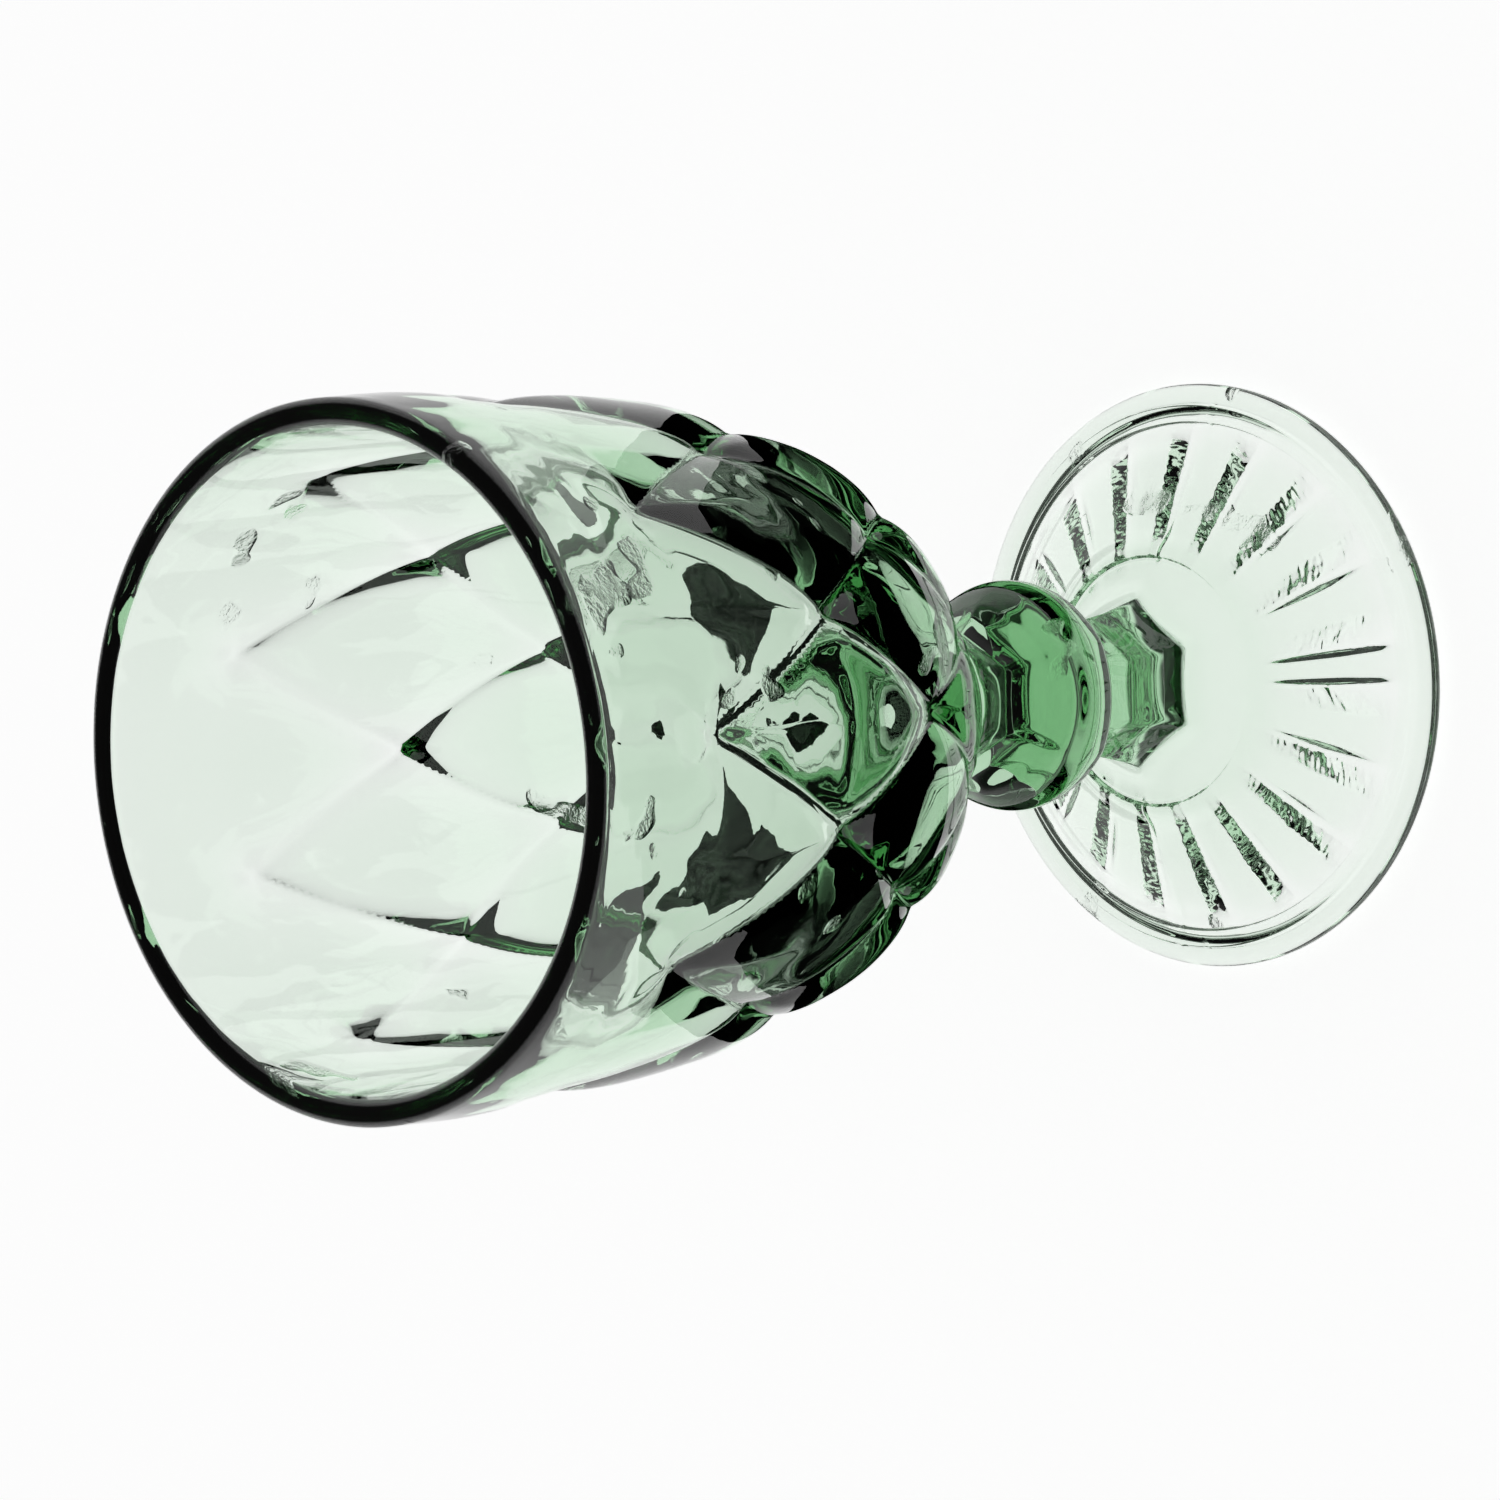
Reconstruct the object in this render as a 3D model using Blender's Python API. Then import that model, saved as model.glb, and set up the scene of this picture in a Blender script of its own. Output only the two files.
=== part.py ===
"""Pressed-glass goblet with a diamond-cut bowl, a round knop, a six-sided stem and a fluted foot.

Metres, +Z up. The origin is the centre of the ring that the foot stands on, and the
goblet's axis is +Z. Azimuths are measured from -Y, and grow towards +X.
"""

import math

import bmesh
import bpy

# Driving dimensions, in metres
HEIGHT = 0.160
RIM_RADIUS = 0.0425
FOOT_RADIUS = 0.0382
KNOP_RADIUS = 0.0147
STEM_CORNER_RADIUS = 0.0090
JOINT_GAP = 0.0003

# Heights at which one gather of glass meets the next
FOOT_TOP = 0.0200
STEM_TOP = 0.0327
KNOP_TOP = 0.0497

# The bowl's crest line, from where it meets the knop to the rim: (height, radius)
BOWL_CREST = (
    (KNOP_TOP + JOINT_GAP, 0.0084),
    (0.0550, 0.0088),
    (0.0600, 0.0115),
    (0.0655, 0.0162),
    (0.0720, 0.0226),
    (0.0780, 0.0278),
    (0.0860, 0.0330),
    (0.0935, 0.0362),
    (0.1137, 0.0406),
    (0.1396, 0.0425),
    (0.1500, 0.0427),
    (HEIGHT, RIM_RADIUS),
)
# The smooth cavity, from its bottom to the rim: (height, radius)
CAVITY_FLOOR = 0.0625
CAVITY = (
    (0.0635, 0.0042),
    (0.0670, 0.0088),
    (0.0780, 0.0196),
    (0.0935, 0.0293),
    (0.1137, 0.0361),
    (0.1396, 0.0385),
    (HEIGHT, 0.0392),
)
RIM_ROUNDING = 0.0014
RIM_STEPS = 4

# The diamonds: nine round the bowl, in rows whose corners lie at these heights.
# Row 1 is the highest. Depths are how far the corners lie below the crest line.
DIAMONDS_ROUND = 9
ROW_HEIGHTS = (0.1396, 0.1137, 0.0935, 0.0770, 0.0640, 0.0550)
ROW_DEPTHS = (0.0020, 0.0034, 0.0036, 0.0026, 0.0012, 0.0)
SHOULDER = 0.0110
# Powers of a diamond's fall: to its sides (1 is a sharp ridge), to its tips, and of the
# two together (1 cuts flat facets, 2 and over leaves a cushion that is steep at its edges).
# And how far each half of a diamond is from round to flat.
RIDGE = 1.3
BELLY = 1.8
SWELL = 2.4
FLAT_SHARE = 0.15
STEPS_PER_CELL = 4

# Knop and stem, as (height, radius, how six-sided it is)
STEM_FACES = 6
STEM_TURN = math.radians(-5.0)
KNOP_PROFILE = (
    (0.0330, 0.0090, 1.0),
    (0.0336, 0.0106, 0.8),
    (0.0350, 0.0128, 0.4),
    (0.0375, 0.0143, 0.1),
    (0.0405, KNOP_RADIUS, 0.0),
    (0.0435, 0.0142, 0.1),
    (0.0462, 0.0124, 0.4),
    (0.0482, 0.0100, 0.9),
    (KNOP_TOP, 0.0087, 1.0),
)
STEM_PROFILE = (
    (FOOT_TOP + JOINT_GAP, 0.0099, 1.0),
    (0.0225, 0.0094, 1.0),
    (0.0265, STEM_CORNER_RADIUS, 1.0),
    (0.0300, 0.0090, 1.0),
    (STEM_TOP, 0.0090, 1.0),
)

# Foot: the upper side from the flare down to the edge, (height, radius, how six-sided)
# The crease between flare and cone is a fine groove
CREASE_HEIGHT = 0.01235
CREASE_RADIUS = 0.0160
CREASE_HALF_WIDTH = 0.0004
FOOT_UPPER = (
    (FOOT_TOP, 0.0099, 1.0),
    (0.0172, 0.0106, 0.75),
    (0.0152, 0.0117, 0.35),
    (0.0138, 0.0132, 0.1),
    (0.0130, 0.0146, 0.0),
    (0.0127, CREASE_RADIUS - CREASE_HALF_WIDTH, 0.0),
    (CREASE_HEIGHT, CREASE_RADIUS, 0.0),
    (0.01255, CREASE_RADIUS + CREASE_HALF_WIDTH, 0.0),
    (0.0100, 0.0198, 0.0),
    (0.0072, 0.0245, 0.0),
    (0.0046, 0.0292, 0.0),
    (0.0027, 0.0330, 0.0),
    (0.0033, 0.0334, 0.0),
    (0.0032, 0.0354, 0.0),
    (0.0028, 0.0358, 0.0),
    (0.0025, 0.0368, 0.0),
    (0.0019, 0.0378, 0.0),
    (0.0012, FOOT_RADIUS, 0.0),
    (0.0005, 0.0379, 0.0),
)
# Foot: the ring it stands on, and the recess under it, (height, radius, share of a flute)
REST_RING_OUTER = 0.0372
REST_RING_INNER = 0.0352
RECESS = (
    (0.0013, 0.0338, 0.0),
    (0.0013, 0.0325, 0.35),
    (0.0014, 0.0310, 0.7),
    (0.0034, 0.0250, 1.0),
    (0.0062, 0.0190, 0.5),
    (0.0092, 0.0125, 0.0),
    (0.0118, 0.0070, 0.0),
    (0.0128, 0.0035, 0.0),
)
RECESS_TOP = 0.0131
FLUTES = 18
FLUTE_DEPTH = 0.0016
FLUTE_TURN = math.radians(25.0 / 3.0)
FLUTE_HALF_WIDTH = math.radians(10.0 / 3.0)

BOWL_COLUMNS = DIAMONDS_ROUND * 2 * STEPS_PER_CELL
STEM_COLUMNS = STEM_FACES * 6
FOOT_COLUMNS = FLUTES * 6

# Glass as it looks in each thickness: (red, green, blue), linear
PALE_GREEN = (0.62, 0.78, 0.66)
DEEP_GREEN = (0.10, 0.30, 0.14)


def smooth(stations, at):
    """Read a curve through the stations at a height, with slopes that never overshoot."""
    count = len(stations)
    spans = [stations[i + 1][0] - stations[i][0] for i in range(count - 1)]
    rises = [(stations[i + 1][1] - stations[i][1]) / spans[i] for i in range(count - 1)]
    slopes = [rises[0]]
    for i in range(1, count - 1):
        if rises[i - 1] * rises[i] <= 0:
            slopes.append(0.0)
        else:
            slopes.append(2 * rises[i - 1] * rises[i] / (rises[i - 1] + rises[i]))
    slopes.append(rises[-1])
    i = 0
    while i < count - 2 and at > stations[i + 1][0]:
        i += 1
    t = (at - stations[i][0]) / spans[i]
    start = (1 + 2 * t) * (1 - t) ** 2
    end = t * t * (3 - 2 * t)
    lean_in = t * (1 - t) ** 2 * spans[i]
    lean_out = t * t * (t - 1) * spans[i]
    value = start * stations[i][1] + end * stations[i + 1][1]
    return value + lean_in * slopes[i] + lean_out * slopes[i + 1]


def row_place(height):
    """How far down the rows of corners a height lies: 1 at the first row, 2 at the next."""
    rows = len(ROW_HEIGHTS)
    stations = [(ROW_HEIGHTS[i], i + 1.0) for i in reversed(range(rows))]
    if height >= ROW_HEIGHTS[0]:
        return 1.0 - (height - ROW_HEIGHTS[0]) / (ROW_HEIGHTS[0] - ROW_HEIGHTS[1])
    return smooth(stations, max(height, ROW_HEIGHTS[-1]))


def row_height(place):
    """The height at a place in the rows, found by halving."""
    low, high = ROW_HEIGHTS[-1], HEIGHT
    for _ in range(40):
        middle = (low + high) / 2
        if row_place(middle) > place:
            low = middle
        else:
            high = middle
    return (low + high) / 2


def diamond_depth(place):
    """How deep the corners are at a place in the rows; it fades out above the first row."""
    stations = [(i + 1.0, depth) for i, depth in enumerate(ROW_DEPTHS)]
    if place < 1.0:
        fade = (1.0 - place) * (ROW_HEIGHTS[0] - ROW_HEIGHTS[1]) / SHOULDER
        return ROW_DEPTHS[0] * max(0.0, 1.0 - fade) ** 2
    return smooth(stations, min(place, float(len(ROW_DEPTHS))))


def flatness(place):
    """1 where the facets are flat across, 0 where the bowl is round."""
    if place < 1.0:
        fade = (1.0 - place) * (ROW_HEIGHTS[0] - ROW_HEIGHTS[1]) / SHOULDER
        return max(0.0, 1.0 - fade) ** 2
    return min(1.0, max(0.0, len(ROW_DEPTHS) - place))


def bowl_radius(azimuth, height):
    """Radius of the bowl's outside. Each diamond swells about a raised ridge along its
    length, so the lines where two diamonds meet are valleys, deepest at the corners."""
    crest = smooth(BOWL_CREST, height)
    place = row_place(height)
    depth = diamond_depth(place)
    cell = math.pi / DIAMONDS_ROUND
    across = azimuth / cell
    best = None
    for row in (math.floor(place), math.floor(place) + 1):
        shift = (row + 1) % 2
        column = 2 * round((across - 1 - shift) / 2) + 1 + shift
        aside = abs(across - column)
        drop = depth * (aside ** RIDGE + abs(place - row) ** BELLY) ** SWELL
        if best is None or drop < best[0]:
            best = (drop, aside)
    drop, aside = best
    flat = math.cos(cell / 2) / math.cos(cell * aside - cell / 2)
    return (crest - drop) * (1 + (flat - 1) * FLAT_SHARE * flatness(place))


def six_sided(azimuth, radius, share):
    """Radius of a section that is part circle and part flat-sided hexagon."""
    face = 2 * math.pi / STEM_FACES
    turn = (azimuth - STEM_TURN + face / 2) % face - face / 2
    flat = math.cos(face / 2) / math.cos(turn)
    return radius * (1 + (flat - 1) * share)


def fluted(azimuth, depth):
    """How far one of the underside's flutes, a groove with two flat sides, rises. The
    flutes are mirrored left to right."""
    pitch = 2 * math.pi / FLUTES
    away = abs((azimuth + math.pi) % (2 * math.pi) - math.pi)
    aside = abs((away - FLUTE_TURN + pitch / 2) % pitch - pitch / 2)
    return depth * max(0.0, 1.0 - aside / FLUTE_HALF_WIDTH)


def place_point(azimuth, radius, height):
    """A point of a turned shape."""
    return (radius * math.sin(azimuth), -radius * math.cos(azimuth), height)


def along_valley(azimuth, height):
    """True where the nearest valley between diamonds falls as the azimuth grows."""
    across = azimuth * DIAMONDS_ROUND / math.pi
    place = row_place(height)
    falling = abs((across - place + 1.0) / 2 - round((across - place + 1.0) / 2))
    rising = abs((across + place + 1.0) / 2 - round((across + place + 1.0) / 2))
    return falling < rising


def turned(name, rings, columns, material, poles, start=0.0, bowl_cut=False):
    """One closed shape from rings of points, listed bottom to top up the outside and then
    down the inside. Each ring is a function of azimuth that gives radius and height. A
    pole is the height at which an end closes to a point, or None for a flat cap. The
    first column of points stands at the start azimuth."""
    shape = bmesh.new()
    loops = []
    for ring in rings:
        loop = []
        for j in range(columns):
            azimuth = start + 2 * math.pi * j / columns
            radius, height = ring(azimuth)
            loop.append(shape.verts.new(place_point(azimuth, radius, height)))
        loops.append(loop)
    for lower, upper in zip(loops, loops[1:]):
        for j in range(columns):
            k = (j + 1) % columns
            azimuth = start + 2 * math.pi * (j + 0.5) / columns
            middle = (lower[j].co.z + upper[j].co.z) / 2
            if bowl_cut and along_valley(azimuth, middle):
                shape.faces.new((lower[j], lower[k], upper[j]))
                shape.faces.new((lower[k], upper[k], upper[j]))
            else:
                shape.faces.new((lower[j], lower[k], upper[k]))
                shape.faces.new((lower[j], upper[k], upper[j]))
    for loop, pole, first in ((loops[0], poles[0], True), (loops[-1], poles[1], False)):
        height = loop[0].co.z if pole is None else pole
        centre = shape.verts.new((0.0, 0.0, height))
        for j in range(columns):
            k = (j + 1) % columns
            corners = (loop[k], loop[j], centre) if first else (loop[j], loop[k], centre)
            shape.faces.new(corners)
    mesh = bpy.data.meshes.new(name)
    shape.to_mesh(mesh)
    shape.free()
    mesh.materials.append(material)
    mesh.shade_smooth()
    mesh.set_sharp_from_angle(angle=math.radians(6))
    piece = bpy.data.objects.new(name, mesh)
    bpy.context.scene.collection.objects.link(piece)
    return piece


def glass(name, colour):
    """Clear pressed glass of one tint."""
    material = bpy.data.materials.new(name)
    material.use_nodes = True
    shader = material.node_tree.nodes["Principled BSDF"]
    shader.inputs["Base Color"].default_value = (*colour, 1.0)
    shader.inputs["Roughness"].default_value = 0.04
    shader.inputs["Metallic"].default_value = 0.0
    shader.inputs["IOR"].default_value = 1.52
    shader.inputs["Transmission Weight"].default_value = 0.9
    return material


def make_bowl(material):
    """The bowl: cut outside, round rim, smooth open cavity and a solid base."""
    rings = [lambda a, z=BOWL_CREST[0][0]: (bowl_radius(a, z), z)]
    rows = (len(ROW_HEIGHTS) - 1) * STEPS_PER_CELL
    for i in range(rows + 1):
        height = row_height(len(ROW_HEIGHTS) - i / STEPS_PER_CELL)
        rings.append(lambda a, z=height: (bowl_radius(a, z), z))
    for share in (0.25, 0.55, 1.0):
        height = ROW_HEIGHTS[0] + SHOULDER * share
        rings.append(lambda a, z=height: (bowl_radius(a, z), z))
    inner_rim = CAVITY[-1][1]
    for i in range(RIM_STEPS + 1):
        angle = math.pi * i / RIM_STEPS
        middle = (RIM_RADIUS + inner_rim) / 2
        radius = middle + (RIM_RADIUS - inner_rim) / 2 * math.cos(angle)
        height = HEIGHT - RIM_ROUNDING * (1 - math.sin(angle))
        rings.append(lambda a, r=radius, z=height: (r, z))
    for height in (0.1500, 0.1396, 0.1260, 0.1137, 0.1035, 0.0935, 0.0855, 0.0780,
                   0.0720, 0.0670, CAVITY[0][0]):
        rings.append(lambda a, z=height: (smooth(CAVITY, z), z))
    return turned("bowl", rings, BOWL_COLUMNS, material, (None, CAVITY_FLOOR), bowl_cut=True)


def make_knop(material):
    """The round knop between the bowl and the stem."""
    rings = [lambda a, p=p: (six_sided(a, p[1], p[2]), p[0]) for p in KNOP_PROFILE]
    return turned("knop", rings, STEM_COLUMNS, material, (None, None), start=STEM_TURN)


def make_stem(material):
    """The short six-sided stem."""
    rings = [lambda a, p=p: (six_sided(a, p[1], p[2]), p[0]) for p in STEM_PROFILE]
    return turned("stem", rings, STEM_COLUMNS, material, (None, None), start=STEM_TURN)


def make_foot(material):
    """The foot: flare, cone, ringed edge, flat rest ring and a fluted recess under it."""
    recess = [
        lambda a, p=p: (p[1], p[0] + fluted(a, FLUTE_DEPTH * p[2])) for p in reversed(RECESS)
    ]
    rest = [lambda a: (REST_RING_INNER, 0.0), lambda a: (REST_RING_OUTER, 0.0)]
    upper = [lambda a, p=p: (six_sided(a, p[1], p[2]), p[0]) for p in reversed(FOOT_UPPER)]
    rings = recess + rest + upper
    return turned("foot", rings, FOOT_COLUMNS, material, (RECESS_TOP, None), start=STEM_TURN)


def main():
    """Clear the scene and make the goblet."""
    for old in list(bpy.data.objects):
        bpy.data.objects.remove(old, do_unlink=True)
    pale = glass("pale green glass", PALE_GREEN)
    deep = glass("deep green glass", DEEP_GREEN)
    goblet = bpy.data.objects.new("goblet", None)
    bpy.context.scene.collection.objects.link(goblet)
    for piece in (make_bowl(pale), make_knop(deep), make_stem(deep), make_foot(pale)):
        piece.parent = goblet


main()
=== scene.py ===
import math

import bpy
import numpy as np
from mathutils import Matrix


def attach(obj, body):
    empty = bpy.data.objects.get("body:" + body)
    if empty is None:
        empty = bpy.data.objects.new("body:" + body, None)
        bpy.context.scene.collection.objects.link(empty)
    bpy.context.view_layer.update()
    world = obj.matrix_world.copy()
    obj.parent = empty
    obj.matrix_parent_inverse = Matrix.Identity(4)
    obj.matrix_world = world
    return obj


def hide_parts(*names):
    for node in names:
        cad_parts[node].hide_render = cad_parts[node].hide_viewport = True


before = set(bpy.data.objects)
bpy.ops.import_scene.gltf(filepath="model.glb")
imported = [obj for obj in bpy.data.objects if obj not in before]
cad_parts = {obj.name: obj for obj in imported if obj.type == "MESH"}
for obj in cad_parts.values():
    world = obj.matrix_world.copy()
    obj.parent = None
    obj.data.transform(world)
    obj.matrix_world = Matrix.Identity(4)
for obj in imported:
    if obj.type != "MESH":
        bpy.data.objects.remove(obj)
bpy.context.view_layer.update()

bl_info = {
    "name": "Pressed Glass Goblet",
    "version": (1, 0, 0),
    "blender": (4, 5, 0),
    "location": "View3D > Sidebar > Goblet",
    "description": "Makes a green pressed glass goblet, piece by piece, and the table it stands on",
    "category": "Add Mesh",
}

# The mould, in metres. Heights are above the table and radii are from the goblet's axis.
# Azimuths start at -Y and grow towards +X. Neighbouring gathers are joined hot, so each
# pair meets at one plane with only this much between them.
JOIN = 0.00001
BOWL_BASE = 0.04985
KNOP_BASE = 0.03285
STEM_BASE = 0.02015
RIM_TOP = 0.160
RIM_INSIDE = 0.0392
RIM_ROUNDING = 0.0015

# Bowl: (height, radius) of the crest of the diamonds, and of the cavity
BOWL_CREST = (
    (BOWL_BASE, 0.0084), (0.0550, 0.0088), (0.0600, 0.0115), (0.0655, 0.0162),
    (0.0720, 0.0226), (0.0780, 0.0278), (0.0860, 0.0330), (0.0935, 0.0362),
    (0.1137, 0.0406), (0.1396, 0.0425), (0.1500, 0.0427), (RIM_TOP, 0.0425),
)
CAVITY_FLOOR = 0.0625
CAVITY = (
    (CAVITY_FLOOR, 0.0), (0.0635, 0.0042), (0.0670, 0.0088), (0.0780, 0.0196),
    (0.0935, 0.0293), (0.1137, 0.0361), (0.1396, 0.0385), (RIM_TOP, RIM_INSIDE),
)
# Rows of corners where four diamonds meet, from the highest: (height, depth under the crest)
CORNER_ROWS = (
    (0.1396, 0.0020), (0.1137, 0.0034), (0.0935, 0.0036), (0.0770, 0.0026),
    (0.0640, 0.0012), (0.0550, 0.0),
)
# The top row fades out over the shoulder. STEPS rings lie between two rows of corners, and
# STEPS columns across half a diamond.
SHOULDER = 0.0110
STEPS = 22

# Knop, stem and the foot's top: (height, radius, how six-sided)
KNOP = (
    (KNOP_BASE, 0.0090, 1.0), (0.0336, 0.0106, 0.8), (0.0350, 0.0128, 0.4),
    (0.0375, 0.0143, 0.1), (0.0405, 0.0147, 0.0), (0.0435, 0.0142, 0.1),
    (0.0462, 0.0124, 0.4), (0.0482, 0.0100, 0.9), (BOWL_BASE, 0.0084, 1.0),
)
STEM = (
    (STEM_BASE, 0.0099, 1.0), (0.0225, 0.0094, 1.0), (0.0265, 0.0090, 1.0),
    (0.0300, 0.0090, 1.0), (KNOP_BASE, 0.0090, 1.0),
)
FOOT_TOP = (
    (0.0127, 0.0156, 0.0), (0.0130, 0.0146, 0.0), (0.0138, 0.0132, 0.1),
    (0.0152, 0.0117, 0.35), (0.0172, 0.0106, 0.75), (STEM_BASE, 0.0099, 1.0),
)
# Foot: (radius, height) out from the crease to the edge, and of the recess underneath
FOOT_CONE = (
    (0.0156, 0.0127), (0.0160, 0.0121), (0.0164, 0.01255),
    (0.0198, 0.0100), (0.0245, 0.0072), (0.0292, 0.0046),
    (0.0330, 0.0027), (0.0334, 0.0033), (0.0354, 0.0032), (0.0358, 0.0028),
    (0.0368, 0.0025),
)
FOOT_EDGE_CENTRE = 0.0370
FOOT_EDGE_ROUNDING = 0.0012
RECESS = (
    (0.0, 0.0131), (0.0035, 0.0128), (0.0070, 0.0118), (0.0125, 0.0092),
    (0.0190, 0.0062), (0.0250, 0.0034), (0.0310, 0.0014), (0.0325, 0.0013),
    (0.0338, 0.0013), (0.0352, 0.0),
)
# Flutes: (radius, share of their depth), easing off where the foot is thin. The lean says how
# lopsided a flute is: 0 is even, and 0.5 would stand one side upright.
FLUTE_REACH = (
    (0.0, 0.0), (0.0125, 0.0), (0.0190, 0.55), (0.0250, 1.0), (0.0290, 0.8),
    (0.0310, 0.55), (0.0325, 0.3), (0.0338, 0.1), (0.0352, 0.0),
)
FLUTE_LEAN = 0.28
# A flute's torn edge wanders this often for each metre outwards and each radian round
TEARS_OUTWARD = 2600.0
TEARS_ROUND = 9.0
SEAM_HALF_WIDTH = math.radians(0.8)
# What the mould does at each ring, kept as point attributes until the piece is pressed
RING_ATTRIBUTES = ("row", "corner_depth", "flatness", "six_sided", "flute", "ripple", "seam")

# Patterns in the glass, as features for each metre: waves 3 mm wide, rough patches 13 mm apart
# with grit under 1 mm, and a bloom 20 mm wide
WAVES = 300.0
PATCHES = 75.0
GRIT = 1500.0
BLOOM = 50.0
WAVE_HEIGHT = 0.000006
GRIT_HEIGHT = 0.0003

# Stage, in metres. The table glows. The sky is (how high, how bright) at its two ends.
TABLE_RADIUS = 3.0
TABLE_TOP = -0.0003
TABLE_GLOW = 0.86
# A black card round the foot that only the glass sees: it paints dark reflections and refractions
# into the glass
CARD_INSIDE = 0.046
CARD_OUTSIDE = 0.150
CARD_SHIFT = -0.062
CARD_TOP = 0.0004
SKY_LOW = (0.12, 0.92)
SKY_HIGH = (0.42, 0.06)

# Camera: the lens in millimetres, then where it looks on the axis, from how far and how turned
LENS = 185.23
SENSOR = 36.0
CAMERA_TARGET = 0.08094
CAMERA_DISTANCE = 0.95203
CAMERA_TURN = math.radians(1.55)
CAMERA_ELEVATION = math.radians(47.406)
CAMERA_ROLL = math.radians(-95.811)
CAMERA_TILT = -0.00423709
CAMERA_PAN = 0.0059366


def linear(code):
    """Turn an sRGB hex colour into linear red, green and blue."""
    parts = [int(code[i:i + 2], 16) / 255 for i in (1, 3, 5)]
    return tuple(p / 12.92 if p <= 0.04045 else ((p + 0.055) / 1.055) ** 2.4 for p in parts)


def add(tree, kind, inputs=(), **settings):
    """Add a node with its settings. Its inputs are values, sockets or nodes, by place or name."""
    node = tree.nodes.new(kind)
    for name, value in settings.items():
        setattr(node, name, value)
    for key, value in inputs.items() if isinstance(inputs, dict) else enumerate(inputs):
        if isinstance(value, bpy.types.Node):
            value = next(s for s in value.outputs if s.enabled)
        if isinstance(value, bpy.types.NodeSocket):
            tree.links.new(value, node.inputs[key])
        elif value is not None:
            node.inputs[key].default_value = value
    return node


class GobletSizes(bpy.types.PropertyGroup):
    """Sizes of the cut pattern and of the marks that pressing leaves."""

    diamonds: bpy.props.IntProperty(
        name="Diamonds Round", description="Diamonds round the bowl in each row",
        default=9, min=3, max=24)
    ridge: bpy.props.FloatProperty(
        name="Ridge", description="Power of a diamond's fall to its sides: 1 is a sharp ridge",
        default=1.3, min=1.0, max=3.0)
    belly: bpy.props.FloatProperty(
        name="Belly", description="Power of a diamond's fall to its tips: 2 is a round belly",
        default=1.8, min=1.0, max=3.0)
    swell: bpy.props.FloatProperty(
        name="Swell", description="1 cuts flat facets, 2 leaves them swollen like a cushion",
        default=2.4, min=1.0, max=3.0)
    flat: bpy.props.FloatProperty(
        name="Flat Share", description="How far each half of a diamond is from round to flat",
        default=0.15, min=0.0, max=1.0, subtype="FACTOR")
    valley: bpy.props.FloatProperty(
        name="Valley Rounding", description="Width of the rounded valley as a share of a cell",
        default=0.12, min=0.0, max=1.0, subtype="FACTOR")
    stem_turn: bpy.props.FloatProperty(
        name="Stem Turn", description="Turn of the stem's six faces against the diamonds",
        default=math.radians(-5.0), subtype="ANGLE")
    flutes: bpy.props.IntProperty(
        name="Flutes", description="Flutes under the foot", default=18, min=3, max=60)
    flute_depth: bpy.props.FloatProperty(
        name="Flute Depth", description="Depth of a flute under the foot",
        default=0.0020, min=0.0, max=0.003, unit="LENGTH", subtype="DISTANCE")
    flute_turn: bpy.props.FloatProperty(
        name="Flute Turn", description="Turn of the flutes against the diamonds",
        default=math.radians(25.0 / 3.0), subtype="ANGLE")
    flute_half_width: bpy.props.FloatProperty(
        name="Flute Half Width", description="Turn from a flute's middle to its edge",
        default=math.radians(5.4), min=0.01, subtype="ANGLE")
    torn_width: bpy.props.FloatProperty(
        name="Torn Width", description="How far the edge of a flute wanders",
        default=math.radians(4.5), min=0.0, subtype="ANGLE")
    seam_turn: bpy.props.FloatProperty(
        name="Seam Turn", description="Turn of the mould's two seams against the diamonds",
        default=math.radians(80.0), subtype="ANGLE")
    seam_height: bpy.props.FloatProperty(
        name="Seam Height", description="How far the glass stands out at the mould's seams",
        default=0.00018, min=0.0, max=0.001, unit="LENGTH", subtype="DISTANCE")
    ripple_height: bpy.props.FloatProperty(
        name="Ripple Height", description="Height of the chill ripples in the glass",
        default=0.00026, min=0.0, max=0.001, unit="LENGTH", subtype="DISTANCE")
    ripple_width: bpy.props.FloatProperty(
        name="Ripple Width", description="Width of the chill ripples in the glass",
        default=0.011, min=0.001, max=0.1, unit="LENGTH", subtype="DISTANCE")
    seed: bpy.props.IntProperty(
        name="Seed", description="Which set of ripples the mould leaves", default=3)


class GobletColours(bpy.types.PropertyGroup):
    """Colours of the glass and of the stage."""

    tint: bpy.props.FloatVectorProperty(
        name="Glass Tint", description="Colour that the glass lets through in depth",
        subtype="COLOR", size=3, min=0.0, max=1.0, default=linear("#72ce7f"))
    depth: bpy.props.FloatProperty(
        name="Tint Strength", description="Strength of the glass's colour for each metre of depth",
        default=48.0, min=0.0, max=1000.0)
    floor: bpy.props.FloatVectorProperty(
        name="Floor", description="Colour of the table", subtype="COLOR", size=3,
        min=0.0, max=1.0, default=linear("#f4f4f4"))


def curve_through(stations, at):
    """Read a smooth curve through (place, value) stations, with slopes that never overshoot."""
    x = np.array([s[0] for s in stations], float)
    y = np.array([s[1] for s in stations], float)
    if x[0] > x[-1]:
        x, y = x[::-1], y[::-1]
    span = np.diff(x)
    rise = np.diff(y) / span
    slope = np.concatenate([rise[:1], np.zeros(len(x) - 2), rise[-1:]])
    same = rise[:-1] * rise[1:] > 0
    slope[1:-1][same] = (2 * rise[:-1] * rise[1:])[same] / (rise[:-1] + rise[1:])[same]
    at = np.clip(np.asarray(at, float), x[0], x[-1])
    i = np.clip(np.searchsorted(x, at) - 1, 0, len(x) - 2)
    t = (at - x[i]) / span[i]
    value = (1 + 2 * t) * (1 - t) ** 2 * y[i] + t * t * (3 - 2 * t) * y[i + 1]
    return value + span[i] * (t * (1 - t) ** 2 * slope[i] + t * t * (t - 1) * slope[i + 1])


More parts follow.
